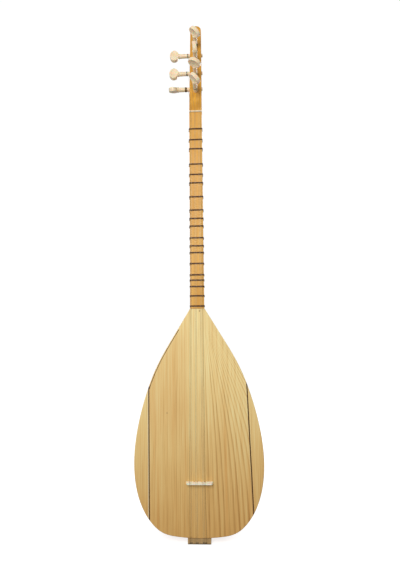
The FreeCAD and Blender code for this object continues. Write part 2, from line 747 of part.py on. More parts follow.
def build_string(name, kind, bridge_x, nut_x, holder_x, peg):
    radius = string_radius(kind)
    above = size("slack") + radius
    up = next(up for label, up, _ in FRONT_PEGS + SIDE_PEGS if label == peg)
    front = peg.startswith("peg_front")
    seat = front_seat(up) if front else side_seat(up)
    turns, reach = coil(seat, peg, radius)
    out = COIL_PLACES[peg]
    if front:
        last = [Vector(reach, -out, up)]
    else:
        side = seat.Base.x
        last = [Vector(side - 0.7, -0.2 - radius, 0.7 * up),
                Vector(side - out, size("side_peg_depth") - reach, up)]
    nut_spot = Vector(nut_x, PLAY - size("nut_rise") + size("notch_deep") - above,
                      NUT_UP + size("nut_thick") + 0.3)
    points = [
        Vector(holder_x, size("holder_deep") + size("ball_long") / 2, 1),
        Vector(holder_x, -0.75, 1),
        Vector(bridge_x, size("notch_deep") - size("bridge_tall") - above, size("bridge_up")),
        nut_spot,
    ] + [HEAD.multVec(spot) for spot in last]
    run = tube(points, radius, 1.8)
    ball = Part.makeCylinder(size("ball_radius"), size("ball_long"),
                             Vector(holder_x, size("holder_deep") + 0.1, size("ball_radius") + 0.25),
                             Vector(0, 1, 0))
    feature(name, solid(run.fuse([turns, ball])))


def build_all():
    build_soundboard()
    build_bowl()
    build_inner_blocks()
    build_neck()
    for number, cents in enumerate(FRET_CENTS, 1):
        build_fret(number, cents)
    build_nut()
    build_bridge()
    build_holder()
    build_head()
    build_pegs()
    for row in STRINGS:
        build_string(*row)


def write_all():
    """Checks every object and writes one file for each node."""
    doc.recompute()
    for item in doc.Objects:
        if "Invalid" in item.State or "Error" in item.State:
            raise RuntimeError(f"{item.Name} failed: {item.State}")
    for item in nodes:
        if item.Shape.isNull() or not item.Shape.isValid():
            raise RuntimeError(f"{item.Label} has no valid shape")
    os.makedirs("parts", exist_ok=True)
    for item in nodes:
        item.Shape.exportStep(os.path.join("parts", f"{item.Label}.step"))
    print(len(nodes), "nodes written")


build_all()
write_all()
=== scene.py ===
"""Looks of a short-necked baglama (saz): woods, ivory-coloured pegs, tied nylon frets and steel strings.

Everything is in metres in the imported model's frame: +Z up along the neck, the soundboard faces -Y.
"""
import json
import math

import bpy
from mathutils import Matrix, Vector
from mathutils.bvhtree import BVHTree


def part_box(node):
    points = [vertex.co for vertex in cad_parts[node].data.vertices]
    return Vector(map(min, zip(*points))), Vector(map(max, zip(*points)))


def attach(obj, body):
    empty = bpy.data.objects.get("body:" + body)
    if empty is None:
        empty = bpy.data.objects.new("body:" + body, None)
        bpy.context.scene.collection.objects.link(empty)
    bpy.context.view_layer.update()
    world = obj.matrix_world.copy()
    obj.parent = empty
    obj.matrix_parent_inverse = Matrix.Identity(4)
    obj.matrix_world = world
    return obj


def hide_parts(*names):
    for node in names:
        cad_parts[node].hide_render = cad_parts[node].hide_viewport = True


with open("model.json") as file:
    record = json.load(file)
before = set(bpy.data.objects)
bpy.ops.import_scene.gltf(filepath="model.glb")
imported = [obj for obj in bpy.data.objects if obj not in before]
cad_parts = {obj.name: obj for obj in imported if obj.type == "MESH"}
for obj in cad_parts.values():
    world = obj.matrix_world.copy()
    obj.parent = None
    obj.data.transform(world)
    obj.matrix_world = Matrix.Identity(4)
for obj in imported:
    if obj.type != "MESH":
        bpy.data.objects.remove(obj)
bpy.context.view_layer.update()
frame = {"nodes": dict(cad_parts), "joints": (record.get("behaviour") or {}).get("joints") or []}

MM = 0.001
SHARP_ANGLE = 35  # degrees: edges above this angle stay crisp


# ---------------------------------------------------------------- shader fields

def linear(red, green, blue):
    """Linear colour of an sRGB colour given in 0 to 255."""
    def one(level):
        level /= 255
        return level / 12.92 if level <= 0.04045 else ((level + 0.055) / 1.055) ** 2.4
    return (one(red), one(green), one(blue), 1.0)


def plug(tree, slot, item):
    """Joins a field to a socket, or sets the socket to a constant."""
    if isinstance(item, Field):
        tree.links.new(item.socket, slot)
    else:
        slot.default_value = item


class Field:
    """A number or colour that varies over a surface, written as arithmetic on shader sockets."""

    def __init__(self, tree, socket):
        self.tree = tree
        self.socket = socket

    def math(self, operation, *others):
        node = self.tree.nodes.new("ShaderNodeMath")
        node.operation = operation
        for slot, item in zip(node.inputs, (self,) + others):
            plug(self.tree, slot, item)
        return Field(self.tree, node.outputs[0])

    def __add__(self, other):
        return self.math("ADD", other)

    def __sub__(self, other):
        return self.math("SUBTRACT", other)

    def __mul__(self, other):
        return self.math("MULTIPLY", other)

    def __truediv__(self, other):
        return self.math("DIVIDE", other)

    def other(self):
        """One minus this field."""
        return self * -1.0 + 1.0

    def ramp(self, *stops):
        """A colour or grey from (position, colour) stops."""
        node = self.tree.nodes.new("ShaderNodeValToRGB")
        plug(self.tree, node.inputs[0], self)
        band = node.color_ramp.elements
        while len(band) < len(stops):
            band.new(0.5)
        for element, (position, colour) in zip(band, stops):
            element.position = position
            element.color = colour if isinstance(colour, tuple) else (colour, colour, colour, 1)
        return Field(self.tree, node.outputs[0])

    def smooth(self, low, high):
        """0 below low and 1 above high."""
        node = self.tree.nodes.new("ShaderNodeMapRange")
        node.interpolation_type = "SMOOTHSTEP"
        for slot, item in zip(node.inputs, (self, low, high, 0.0, 1.0)):
            plug(self.tree, slot, item)
        return Field(self.tree, node.outputs[0])

    def random(self):
        """A random number from 0 to 1 for each whole number of this field, the same in every run."""
        node = self.tree.nodes.new("ShaderNodeTexWhiteNoise")
        node.noise_dimensions = "1D"
        plug(self.tree, node.inputs["W"], self.math("FLOOR"))
        return Field(self.tree, node.outputs["Value"])


class Finish:
    """A material: its node tree, and the fields that the recipes below are written with."""

    def __init__(self, name, **settings):
        self.material = bpy.data.materials.new(name)
        self.material.use_nodes = True
        self.tree = self.material.node_tree
        self.shader = self.tree.nodes["Principled BSDF"]
        for key, number in settings.items():
            self.shader.inputs[key.replace("_", " ")].default_value = number
        place = self.tree.nodes.new("ShaderNodeTexCoord").outputs["Object"]
        apart = self.tree.nodes.new("ShaderNodeSeparateXYZ")
        self.tree.links.new(place, apart.inputs[0])
        self.x, self.y, self.z = (Field(self.tree, apart.outputs[i]) for i in range(3))

    def vector(self, x, y, z):
        node = self.tree.nodes.new("ShaderNodeCombineXYZ")
        for slot, item in zip(node.inputs, (x, y, z)):
            plug(self.tree, slot, item)
        return Field(self.tree, node.outputs[0])

    def noise(self, place, scale=1.0, detail=2.0, rough=0.5):
        """Smooth noise about zero, roughly from -0.5 to 0.5."""
        node = self.tree.nodes.new("ShaderNodeTexNoise")
        plug(self.tree, node.inputs["Vector"], place)
        node.inputs["Scale"].default_value = scale
        node.inputs["Detail"].default_value = detail
        node.inputs["Roughness"].default_value = rough
        return Field(self.tree, node.outputs[0]) - 0.5

    def streaks(self, wide, long, seed=0.0, detail=2.0):
        """Noise drawn out along the wood: about wide mm across and long mm up."""
        across = 1 / (wide * MM)
        place = self.vector(self.x * across + seed, self.y * across, self.z / (long * MM) + seed)
        return self.noise(place, 1.0, detail, 0.55)

    def mix(self, share, one, two, kind="MIX"):
        node = self.tree.nodes.new("ShaderNodeMix")
        node.data_type = "RGBA"
        node.blend_type = kind
        plug(self.tree, node.inputs[0], share)
        plug(self.tree, node.inputs[6], one)
        plug(self.tree, node.inputs[7], two)
        return Field(self.tree, node.outputs[2])

    def paint(self, colour, roughness=None, bump=None, depth=0.0):
        """Joins the colour, the roughness and a height with its depth in metres to the shader."""
        plug(self.tree, self.shader.inputs["Base Color"], colour)
        if roughness is not None:
            plug(self.tree, self.shader.inputs["Roughness"], roughness)
        if bump is not None:
            node = self.tree.nodes.new("ShaderNodeBump")
            node.inputs["Distance"].default_value = depth
            plug(self.tree, node.inputs["Height"], bump)
            self.tree.links.new(node.outputs[0], self.shader.inputs["Normal"])
        return self.material


# ---------------------------------------------------------------- woods

# the grain on the right of the board fans out from a point near the neck: metres
FAN_TOP = 0.412
FAN_REACH = 0.222
FAN_LINE = 0.0105
FAN_RING = 0.0098
LEFT_RING = 0.0034
BOARD_TONES = ((255, 238, 176), (247, 214, 144), (200, 156, 90), (150, 104, 58))
BOARD_TOP = 0.43
# painted shade: the tint that darkens and warms the board towards the bottom
BOTTOM_SHADE_TINT = (224, 200, 172)
LEFT_TINT = (246, 237, 229)
RIGHT_TINT = (238, 190, 118)
PURFLING_TINT = (250, 228, 182)
KNOTS = ((-0.0586, 0.228, 0.0011), (0.0044, 0.4188, 0.0013))
PURFLING = 0.0014


def late_wood(rings, sharp):
    """The dark line at the end of each growth ring: fades in through the ring and ends abruptly."""
    phase = rings.math("FRACT")
    line = phase.smooth(sharp, 0.92) - phase.smooth(0.93, 1.0)
    strength = rings.random() * 0.7 + 0.3
    return line * strength


def fan_rings(finish, bend):
    """Ring number of the slanting grain on the right half of the board."""
    drop = (finish.z * -1.0 + FAN_TOP).math("MAXIMUM", 0.03) / FAN_REACH
    out = (finish.x - FAN_LINE) / drop.math("TANH")
    return out / FAN_RING + bend * 1.1 + out.math("SINE") * 2.0


def knots(finish):
    """1 in the small dark knots of the board, fading out round them."""
    shade = None
    for x, z, radius in KNOTS:
        reach = ((finish.x - x).math("POWER", 2.0) + ((finish.z - z) / 1.5).math("POWER", 2.0)).math("SQRT")
        spot = reach.smooth(radius * 0.35, radius * 1.5).other()
        shade = spot if shade is None else shade.math("MAXIMUM", spot)
    return shade


def filet_edge(finish, filet, side):
    """Distance of a place from the left (-1) or right (1) side of a filet, which leans a little."""
    corners = [vertex.co for vertex in frame["nodes"][filet].data.vertices]
    low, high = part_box(filet)
    foot = side * max(side * one.x for one in corners if one.z < low.z + 8 * MM)
    tip = side * max(side * one.x for one in corners if one.z > high.z - 8 * MM)
    lean = (tip - foot) / (high.z - low.z)
    return (finish.x - foot - (finish.z - low.z) * lean) * side


def soundboard(name, fan=False, seed=0.0, purfled=None):
    """Spruce: fine straight grain, or grain that fans out on the right half of the middle piece; painted
    shade makes it darker and warmer towards the bottom.
    """
    finish = Finish(name, Specular_IOR_Level=0.25, Coat_Weight=0.12, Coat_Roughness=0.35)
    x, y, z = finish.x, finish.y, finish.z
    bend = finish.noise(finish.vector(x * 7.0 + seed, y * 2.0, z * 2.2), 1.0, 2.0, 0.5)
    wave = finish.noise(finish.vector(x * 60.0 + seed, y * 10.0, z * 5.0), 1.0, 2.0, 0.5)
    straight = x / LEFT_RING + bend * 2.5 + wave * 0.9 + seed
    grain = late_wood(straight, 0.3) * 0.55
    if fan:
        side = x.smooth(FAN_LINE - 0.001, FAN_LINE + 0.003)
        fanned = late_wood(fan_rings(finish, bend) + wave * 0.4, 0.42) * 1.1
        grain = grain * side.other() + fanned * side
    broad = finish.streaks(16.0, 420.0, seed)
    middle = finish.streaks(4.2, 260.0, seed + 3.0)
    fine = finish.streaks(1.5, 70.0, seed + 7.0, 3.0)
    cloud = finish.noise(finish.vector(x * 14.0, y, z * 7.0 + seed), 1.0, 2.0, 0.5)
    # painted shade: 0 at the top of the board, rising towards the bottom, where it darkens the tone
    low = (z / BOARD_TOP).other().smooth(0.15, 1.2)
    tone = grain * 0.5 + broad * 0.4 + middle * 0.62 + fine * 0.8 + cloud * 0.25 + low * 0.2 + 0.2
    light, plain, dark, knot = (linear(*tint) for tint in BOARD_TONES)
    colour = tone.ramp((0.0, light), (0.38, plain), (0.95, dark))
    # painted shade: multiplies the bottom tint in, more towards the bottom of the board
    colour = finish.mix(low, colour, linear(*BOTTOM_SHADE_TINT), "MULTIPLY")
    if fan:
        warmth = finish.streaks(9.0, 500.0, seed + 11.0).smooth(0.0, 0.22)
        colour = finish.mix(warmth * 0.3, colour, linear(*RIGHT_TINT), "MULTIPLY")
        upper = z.smooth(0.15, 0.25) * z.smooth(0.35, 0.41).other() * x.smooth(-0.03, -0.012).other()
        colour = finish.mix(upper, colour, linear(*LEFT_TINT), "MULTIPLY")
    if purfled:
        line = filet_edge(finish, *purfled)
        strip = line.smooth(PURFLING * 0.9, PURFLING * 1.1).other()
        colour = finish.mix(strip * 0.8, colour, linear(*PURFLING_TINT))
    colour = finish.mix(knots(finish) * 0.6, colour, knot)
    return finish.paint(colour, fine * 0.18 + 0.5, grain * -0.5 + fine, 0.00010)


def plain_wood(name, light, dark, rough=0.35, coat=0.3, wide=2.6, contrast=1.0, tilt=0.0):
    """Straight-grained wood with streaks and pores that run up it."""
    finish = Finish(name, Specular_IOR_Level=0.25, Coat_Weight=coat, Coat_Roughness=0.22)
    broad = finish.streaks(wide * 2.4, 210.0, 2.0, 3.0)
    middle = finish.streaks(wide, 120.0, 5.0, 3.0)
    pores = finish.streaks(0.45, 8.0, 9.0, 1.0).smooth(0.14, 0.3)
    curl = finish.noise(finish.vector(finish.x * 18.0, finish.y * 18.0, finish.z * 60.0), 1.0, 1.0, 0.5)
    tone = (broad + middle * 0.7 + curl * tilt) * contrast + pores * 0.22 + 0.5
    colour = tone.ramp((0.15, linear(*light)), (0.85, linear(*dark)))
    return finish.paint(colour, middle * 0.2 + rough, pores * -1.0 + middle * 0.3, 0.00006)


def bowl_wood(name, light, dark, turn):
    """Lacquered stave wood: a warm stripe figure that differs from stave to stave."""
    finish = Finish(name, Specular_IOR_Level=0.5, Coat_Weight=0.9, Coat_Roughness=0.08)
    stripe = finish.streaks(5.0, 300.0, turn, 3.0)
    place = finish.vector(finish.x * 30.0 + turn, finish.y * 30.0, finish.z * 110.0)
    ripple = finish.noise(place, 1.0, 1.0, 0.5)
    pores = finish.streaks(0.5, 9.0, turn + 4.0, 1.0).smooth(0.12, 0.28)
    tone = stripe * 1.1 + ripple * 0.35 + pores * 0.2 + 0.5
    colour = tone.ramp((0.15, linear(*light)), (0.85, linear(*dark)))
    return finish.paint(colour, stripe * 0.15 + 0.3, pores * -1.0 + ripple * 0.2, 0.00004)


# ---------------------------------------------------------------- other materials

def ivory(name, light=(252, 236, 206), dark=(238, 212, 170), gloss=0.3):
    """Cream material with a faint swirl and fine specks."""
    finish = Finish(name, Specular_IOR_Level=0.5, Subsurface_Weight=0.2, Subsurface_Scale=0.003)
    place = finish.vector(finish.x, finish.y, finish.z)
    swirl = finish.noise(place, 90.0, 3.0, 0.6)
    grime = finish.noise(place, 420.0, 3.0, 0.6)
    colour = (swirl + grime * 0.4 + 0.5).ramp((0.2, linear(*light)), (0.8, linear(*dark)))
    return finish.paint(colour, grime * 0.2 + gloss, grime, 0.00004)


def nylon(name):
    """Brown nylon line, a little uneven in colour."""
    finish = Finish(name, Specular_IOR_Level=0.5)
    shade = finish.noise(finish.vector(finish.x, finish.y, finish.z), 700.0, 2.0, 0.5) + 0.5
    colour = shade.ramp((0.2, linear(112, 70, 34)), (0.8, linear(70, 42, 20)))
    return finish.paint(colour, shade * 0.2 + 0.28, shade, 0.00002)


def steel(name, bright, dull, rough, pitch=None):
    """Bare steel, or with a pitch in mm the fine winding of a wound string."""
    finish = Finish(name, Metallic=1.0)
    shade = finish.noise(finish.vector(finish.x, finish.y, finish.z), 240.0, 2.0, 0.5) + 0.5
    colour = shade.ramp((0.2, linear(*bright)), (0.8, linear(*dull)))
    if pitch is None:
        return finish.paint(colour, shade * 0.12 + rough)
    winding = (finish.z * (2 * math.pi / (pitch * MM))).math("SINE")
    return finish.paint(colour, shade * 0.12 + rough, winding, 0.00005)


# ---------------------------------------------------------------- mesh helpers

def piece(name, vertices, faces, material, sharp=SHARP_ANGLE):
    """A smooth-shaded mesh object with edges kept crisp above an angle in degrees."""
    mesh = bpy.data.meshes.new(name)
    mesh.from_pydata(vertices, [], faces)
    mesh.validate()
    mesh.polygons.foreach_set("use_smooth", [True] * len(mesh.polygons))
    mesh.set_sharp_from_angle(angle=math.radians(sharp))
    mesh.materials.append(material)
    item = bpy.data.objects.new(name, mesh)
    bpy.context.scene.collection.objects.link(item)
    return item


def loft(rings, closed_ends=True):
    """Vertices and faces of a skin through rings of equal length, with a fan at each end."""
    count = len(rings[0])
    vertices = [spot for ring in rings for spot in ring]
    faces = []
    for level in range(len(rings) - 1):
        low, high = level * count, (level + 1) * count
        for i in range(count):
            j = (i + 1) % count
            faces.append((low + i, low + j, high + j, high + i))
    if closed_ends:
        for start, order in ((0, -1), (len(vertices) - count, 1)):
            faces.append(tuple(range(start, start + count))[::order])
    return vertices, faces


def strand(path, radius, sides=10):
    """Rings of a round cord along a path, turned as little as possible from one to the next."""
    rings = []
    side = None
    for i, spot in enumerate(path):
        along = (path[min(i + 1, len(path) - 1)] - path[max(i - 1, 0)]).normalized()
        if side is None:
            side = along.orthogonal().normalized()
        side = (side - along * side.dot(along)).normalized()
        across = along.cross(side)
        rings.append([spot + (side * math.cos(turn) + across * math.sin(turn)) * radius
                      for turn in (2 * math.pi * k / sides for k in range(sides))])
    return rings


def rounded(points, bend, steps=6):
    """The path through the points with its corners rounded by quadratic arcs."""
    path = [points[0]]
    for before, corner, after in zip(points, points[1:], points[2:]):
        first = corner + (before - corner).normalized() * bend
        last = corner + (after - corner).normalized() * bend
        for k in range(steps + 1):
            share = k / steps
            path.append(first * (1 - share) ** 2 + corner * (2 * share * (1 - share)) + last * share ** 2)
    return path + [points[-1]]


# ---------------------------------------------------------------- pegs

PEG_RADIUS = 4.2 * MM
PEG_TAPER = 0.02
PEG_OUTSIDE = 25 * MM
HANDLE_TALL = 19.5 * MM
HANDLE_WIDE = 27 * MM
HANDLE_THICK = 8 * MM
DISH_DEEP = 1.9 * MM
RIM_ROUND = 1.1 * MM
RIM_FLAT = 1.0 * MM
COLLAR = 0.9 * MM
SHAFT_SIDES = 40
HANDLE_SIDES = 72
PEG_TURNS = {
    "peg_front_1": -48, "peg_front_2": -82, "peg_front_3": -27, "peg_front_4": -48,
    "peg_side_1": 0, "peg_side_2": 3, "peg_side_3": 58,
}


def peg_joint(name):
    return next(joint for joint in frame["joints"] if joint["child"] == name)


def peg_frame(name, turned=True):
    """The peg's own frame: its origin where it enters the head, +Z out towards its handle."""
    joint = peg_joint(name)
    out = Vector(joint["axis"]).normalized()
    ahead = Vector(peg_joint("peg_front_1")["axis"]).normalized()
    right = Vector((1, 0, 0))
    side = right if name.startswith("peg_front") else -right.cross(ahead)
    across = out.cross(side)
    place = Matrix((side, across, out)).transposed().to_4x4()
    place.translation = Vector(joint["pos_m"])
    turn = math.radians(PEG_TURNS[name]) if turned else 0
    return place @ Matrix.Rotation(turn, 4, "Z")


def peg_radius(along):
    return PEG_RADIUS + PEG_TAPER * along


def shaft_rings(place, tip):
    """Turned shaft from its tip to the root of the handle, with a small rounded collar."""
    end = peg_radius(PEG_OUTSIDE)
    profile = [(peg_radius(tip) - 0.6 * MM, tip), (peg_radius(tip), tip + 0.8 * MM)]
    profile += [(peg_radius(along), along) for along in (-4 * MM, 6 * MM, PEG_OUTSIDE - 4 * MM)]
    for k in range(7):
        lean = math.pi * k / 6
        profile.append((end + COLLAR * math.sin(lean), PEG_OUTSIDE - 1.6 * MM * math.cos(lean)))
    profile += [(end - 0.6 * MM, PEG_OUTSIDE + 2.2 * MM), (end - 1.2 * MM, PEG_OUTSIDE + 5 * MM)]
    rings = []
    for radius, along in profile:
        ring = [Vector((radius * math.cos(turn), radius * math.sin(turn), along))
                for turn in (2 * math.pi * k / SHAFT_SIDES for k in range(SHAFT_SIDES))]
        rings.append([place @ spot for spot in ring])
    return rings


def handle_section():
    """Half the handle's profile as (inset from the outline, distance from the middle plane)."""
    edge = HANDLE_THICK / 2
    line = [(0.0, 0.0)]
    for k in range(7):
        lean = math.pi / 2 * k / 6
        line.append((RIM_ROUND * (1 - math.cos(lean)), edge - RIM_ROUND * (1 - math.sin(lean))))
    line.append((RIM_ROUND + RIM_FLAT, edge))
    return line


def handle_rings(place):
    """The dished oval disc that turns a peg, as rings from the middle of one face to the other."""
    centre = PEG_OUTSIDE + HANDLE_TALL / 2
    outline = handle_section()
    lip = outline[-1][0]
    half = [(HANDLE_WIDE / 2 - inset, HANDLE_TALL / 2 - inset, height) for inset, height in outline]
    inner_wide, inner_tall = HANDLE_WIDE / 2 - lip, HANDLE_TALL / 2 - lip
    for k in range(1, 9):
        share = math.cos(math.pi / 2 * k / 9)
        depth = DISH_DEEP * (1 - share ** 2)
        half.append((inner_wide * share, inner_tall * share, HANDLE_THICK / 2 - depth))
    whole = [(wide, tall, -height) for wide, tall, height in reversed(half[1:])] + half
    rings = []
    for wide, tall, height in whole:
        ring = [Vector((wide * math.cos(turn), height, centre + tall * math.sin(turn)))
                for turn in (2 * math.pi * k / HANDLE_SIDES for k in range(HANDLE_SIDES))]
        rings.append([place @ spot for spot in ring])
    return rings


def united(base, tool):
    """Joins two closed meshes into one skin and drops the second object."""
    union = base.modifiers.new("union", "BOOLEAN")
    union.operation = "UNION"
    union.solver = "EXACT"
    union.object = tool
    solid = bpy.data.meshes.new_from_object(base.evaluated_get(bpy.context.evaluated_depsgraph_get()))
    base.modifiers.clear()
    base.data = solid
    bpy.data.objects.remove(tool)
    solid.polygons.foreach_set("use_smooth", [True] * len(solid.polygons))
    solid.set_sharp_from_angle(angle=math.radians(SHARP_ANGLE))


def add_peg(name, material):
    """A turned peg, one skin from tip to handle, in place of a packed one."""
    place = peg_frame(name)
    inwards = place.inverted()
    tip = min((inwards @ vertex.co).z for vertex in frame["nodes"][name].data.vertices)
    peg = piece(f"{name}_turned", *loft(handle_rings(place)), material)
    shaft = piece(f"{name}_shaft", *loft(shaft_rings(place, tip)), material)
    bpy.context.view_layer.update()
    united(peg, shaft)
    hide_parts(name)
    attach(peg, name)


# ---------------------------------------------------------------- frets

STRAND = 0.46 * MM
STRAND_STEP = 0.94 * MM
FRET_ROOM = 0.25 * MM
FRET_TURNS = 3


def neck_outline(tree, height):
    """Places round the neck's surface at a height, found by looking outwards from its middle."""
    middle = Vector((0, 0.010, height))
    spots = []
    for k in range(180):
        turn = 2 * math.pi * k / 180
        spots.append(tree.ray_cast(middle, Vector((math.cos(turn), math.sin(turn), 0)))[0])
    return spots


def fret_path(outline, low):
    """Turns of nylon round the neck, each level except where it steps to the next one at the back."""
    path = []
    steps = 72
    for k in range(FRET_TURNS * steps + 1):
        share = k / steps
        turn = 2 * math.pi * share + math.radians(170)
        away = Vector((math.cos(turn), math.sin(turn), 0))
        spot = max(outline, key=lambda one: one.dot(away)) + away * (STRAND + FRET_ROOM)
        level = int(share) + max(0.0, (share % 1 - 0.84) / 0.16) if share < FRET_TURNS else FRET_TURNS
        level = min(level, FRET_TURNS - 1)
        path.append(Vector((spot.x, spot.y, low + STRAND + level * STRAND_STEP)))
    return path


def knot_path(spot):
    """A closed trefoil curve that stands for the fret's small knot, beside the neck's bass side."""
    path = []
    for k in range(61):
        turn = 2 * math.pi * k / 60
        path.append(spot + Vector((
            -0.42 * math.sin(3 * turn) * MM,
            (math.sin(turn) + 2 * math.sin(2 * turn)) * 0.42 * MM,
            (math.cos(turn) - 2 * math.cos(2 * turn)) * 0.42 * MM)))
    return path


def add_fret(number, tree, material):
    """Three turns of nylon and a knot in place of a packed fret; tree is the neck's surface."""
    name = f"fret_{number:02d}"
    low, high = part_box(name)
    path = fret_path(neck_outline(tree, (low.z + high.z) / 2), low.z)
    vertices, faces = loft(strand(path, STRAND))
    knot_spot = (path[0] + path[-1]) / 2 + Vector((-2.2 * STRAND, 0, 0))
    extra, more = loft(strand(knot_path(knot_spot), STRAND * 0.8, 8), closed_ends=False)
    faces += [tuple(i + len(vertices) for i in face) for face in more]
    fret = piece(f"{name}_tied", vertices + extra, faces, material)
    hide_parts(name)
    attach(fret, name)


# ---------------------------------------------------------------- strings

# place on the bridge, on the nut and on the string holder in mm, the peg, and how far out its turns are
STRINGS = {
    "string_1_wound": (-16.2, -9.8, -16.6, "peg_side_3", 8),
    "string_2_plain": (-13.8, -7.6, -13.6, "peg_side_2", 6.5),
    "string_3_plain": (-5.4, -1.8, -5.8, "peg_side_1", 5),
    "string_4_plain": (-3.0, 0.6, -2.8, "peg_front_4", 9),
    "string_5_plain": (6.8, 5.6, 7.0, "peg_front_3", 7.5),
    "string_6_plain": (9.2, 7.8, 10.0, "peg_front_2", 6),
    "string_7_wound": (11.6, 10.0, 13.0, "peg_front_1", 4.5),
}
PLAIN_RADIUS = 0.15 * MM
WOUND_RADIUS = 0.28 * MM
NOTCH_DEEP = 0.6 * MM
SLACK = 0.02 * MM
COIL_TURNS = 7
COIL_ROOM = 0.03 * MM
BALL_RADIUS = 1.25 * MM
BALL_LONG = 3 * MM
STRING_BEND = 1.6 * MM


def coil_path(place, middle, radius):
    """Turns of a string round its peg, side by side."""
    path = []
    wide = COIL_TURNS * 2 * radius
    for k in range(COIL_TURNS * 36 + 1):
        share = k / (COIL_TURNS * 36)
        along = middle + wide * (share - 0.5)
        turn = 2 * math.pi * COIL_TURNS * share
        reach = peg_radius(along) + COIL_ROOM + radius
        path.append(place @ Vector((reach * math.cos(turn), reach * math.sin(turn), along)))
    return path


def head_point(across, behind, up):
    """A place on the head from its own sizes: across, behind its front face and up from its foot."""
    ahead = Vector(peg_joint("peg_front_1")["axis"]).normalized()
    right = Vector((1, 0, 0))
    low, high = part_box("neck")
    return Vector((0, low.y, high.z)) + right * across - ahead * behind - right.cross(ahead) * up


def string_route(name, radius):
    """The string's path from behind the holder, over bridge and nut, to where it meets its peg."""
    bridge_x, nut_x, holder_x, peg, out = STRINGS[name]
    above = SLACK + radius
    holder, bridge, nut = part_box("string_holder"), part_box("bridge"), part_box("nut")
    place = peg_frame(peg, turned=False)
    reach = peg_radius(out * MM) + COIL_ROOM + radius
    points = [
        Vector((holder_x * MM, holder[1].y + BALL_LONG / 2, 1 * MM)),
        Vector((holder_x * MM, holder[0].y - 0.75 * MM, 1 * MM)),
        Vector((bridge_x * MM, bridge[0].y + NOTCH_DEEP - above, (bridge[0].z + bridge[1].z) / 2)),
        Vector((nut_x * MM, nut[0].y + NOTCH_DEEP - above, nut[1].z + 0.3 * MM)),
    ]
    if peg.startswith("peg_front"):
        return points + [place @ Vector((reach, 0, out * MM))]
    seat = Vector(peg_joint(peg)["pos_m"])
    foot = head_point(0, 0, 0)
    up = (seat - foot).dot((head_point(0, 0, 1) - foot))
    corner = head_point(seat.x - 0.7 * MM, -0.2 * MM - radius, 0.7 * up)
    return points + [corner, place @ Vector((0, -reach, out * MM))]


def ball_rings(holder_x, behind):
    """The grooved ball that stops a string behind the holder."""
    middle = Vector((holder_x * MM, behind + 0.1 * MM, BALL_RADIUS + 0.25 * MM))
    profile = ((0.55, 0.0), (0.9, 0.12), (1.0, 0.28), (0.72, 0.42), (0.72, 0.58), (1.0, 0.72), (0.9, 0.88),
               (0.55, 1.0))
    return [[middle + Vector((BALL_RADIUS * share * math.cos(turn), BALL_LONG * along,
                              BALL_RADIUS * share * math.sin(turn)))
             for turn in (2 * math.pi * k / 20 for k in range(20))] for share, along in profile]


def add_string(name, materials):
    """A string's run and ball, fixed to the instrument, and its turns, which move with the peg.

    The run casts no shadow: the shadows of seven thin strings darken the middle of the board too much.
    """
    wound = name.endswith("wound")
    radius = WOUND_RADIUS if wound else PLAIN_RADIUS
    slot = "string_wound" if wound else "string_steel"
    _, _, holder_x, peg, out = STRINGS[name]
    vertices, faces = loft(strand(rounded(string_route(name, radius), STRING_BEND), radius, 12))
    run = piece(f"{name}_run", vertices, faces, materials[slot], sharp=60)
    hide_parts(name)
    vertices, faces = loft(ball_rings(holder_x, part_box("string_holder")[1].y))
    ball = piece(f"{name}_ball", vertices, faces, materials["ball"], sharp=60)
    run.visible_shadow = False
    for item in (run, ball):
        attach(item, "instrument")
    vertices, faces = loft(strand(coil_path(peg_frame(peg), out * MM, radius), radius, 8))
    turns = piece(f"{name}_turns", vertices, faces, materials[slot], sharp=60)
    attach(turns, peg)


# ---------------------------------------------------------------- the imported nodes' own materials

STAVE_TONES = (((214, 140, 66), (160, 90, 34)), ((192, 114, 50), (136, 70, 26)))


def dress(names, material):
    """Gives CAD nodes a material."""
    for name in names:
        mesh = frame["nodes"][name].data
        mesh.materials.clear()
        mesh.materials.append(material)


def named(start):
    return [name for name in frame["nodes"] if name.startswith(start)]


def finish_nodes():
    dress(["soundboard_centre"], soundboard("board_centre_wood", fan=True))
    dress(["soundboard_wing_left"],
          soundboard("board_left_wood", seed=4.0, purfled=("soundboard_filet_left", -1)))
    dress(["soundboard_wing_right"], soundboard("board_right_wood", seed=9.0))
    filets = plain_wood("filet_wood", (136, 94, 52), (98, 64, 34), rough=0.45, coat=0.1)
    dress(["bowl_filets"], filets)
    black = plain_wood("board_filet_wood", (98, 62, 34), (66, 40, 20), rough=0.4, coat=0.1)
    dress(named("soundboard_filet") + ["rim_line_left"], black)
    for number, name in enumerate(sorted(named("bowl_stave"))):
        light, dark = STAVE_TONES[number % 2]
        dress([name], bowl_wood(f"bowl_wood_{number + 1}", light, dark, turn=number * 3.7))
    inner = plain_wood("inner_wood", (222, 188, 132), (190, 150, 98), rough=0.6, coat=0.0)
    dress(["tail_block", "neck_block"] + named("brace"), inner)
    dress(["neck"], plain_wood("neck_wood", (244, 190, 94), (214, 150, 58), coat=0.12))
    dress(["head"], plain_wood("head_wood", (236, 176, 72), (194, 132, 38), coat=0.12, tilt=0.4))
    dress(["nut"], ivory("nut_bone"))
    dress(["bridge"], ivory("bridge_wood", (255, 252, 234), (255, 244, 218), gloss=0.45))
    dress(["string_holder"], plain_wood("holder_wood", (204, 170, 118), (160, 126, 80), coat=0.1))


